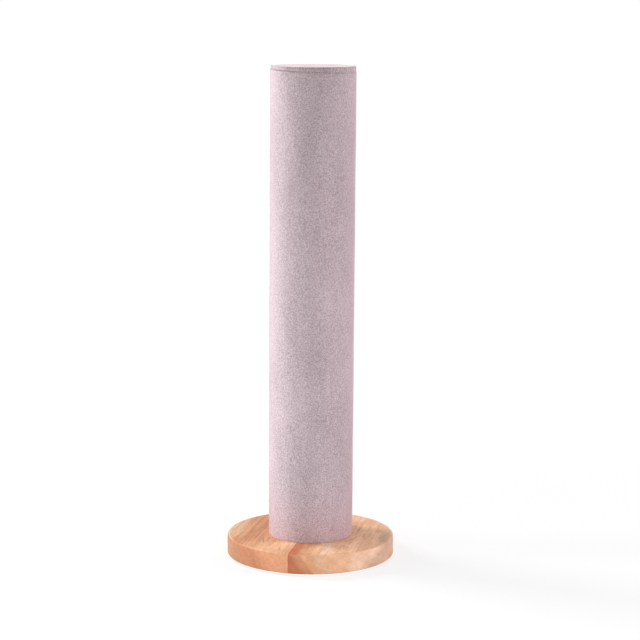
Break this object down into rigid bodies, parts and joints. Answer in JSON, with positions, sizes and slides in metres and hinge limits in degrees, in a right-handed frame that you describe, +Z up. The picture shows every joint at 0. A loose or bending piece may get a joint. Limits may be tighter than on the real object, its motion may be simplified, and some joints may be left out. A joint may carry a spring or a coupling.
{
  "type": "hair tie holder",
  "caption": "Free-standing hair tie holder: a straight velvet-covered column that ties slide over, bolted to a round wooden base on foam foot pads.",
  "frame": {"origin": "on the surface it stands on, under the column's axis: the bottom centre of the whole object", "axes": "+Z up along the column's axis; -Y is the front, where the picture's view comes from; +X is to the right in that view"},
  "size_m": [0.101, 0.101, 0.296],
  "materials": {
    "rubberwood_left": "clear satin lacquer over sanded rubberwood, warm orange-tan",
    "rubberwood_right": "clear satin lacquer over sanded rubberwood, lighter tan",
    "plug_wood": "bare turned softwood",
    "paperboard": "spiral-wound grey-brown paperboard, matt",
    "column_velvet": "short-pile dusty-pink velvet with a soft sheen",
    "cap_velvet": "short-pile dusty-pink velvet with a soft sheen",
    "zinc_steel": "bright zinc plate",
    "foot_foam": "fine closed-cell black foam"
  },
  "bodies": {
    "root": {"base_stave_left": "rubberwood_left", "base_stave_right": "rubberwood_right", "base_bolt": "zinc_steel", "bolt_washer": "zinc_steel", "insert_nut": "zinc_steel", "bottom_plug": "plug_wood", "column_tube": "paperboard", "column_fabric": "column_velvet", "top_plug": "plug_wood", "cap_board": "paperboard", "cap_fabric": "cap_velvet", "foot_pad_1": "foot_foam", "foot_pad_2": "foot_foam", "foot_pad_3": "foot_foam", "foot_pad_4": "foot_foam"}
  },
  "joints": []
}
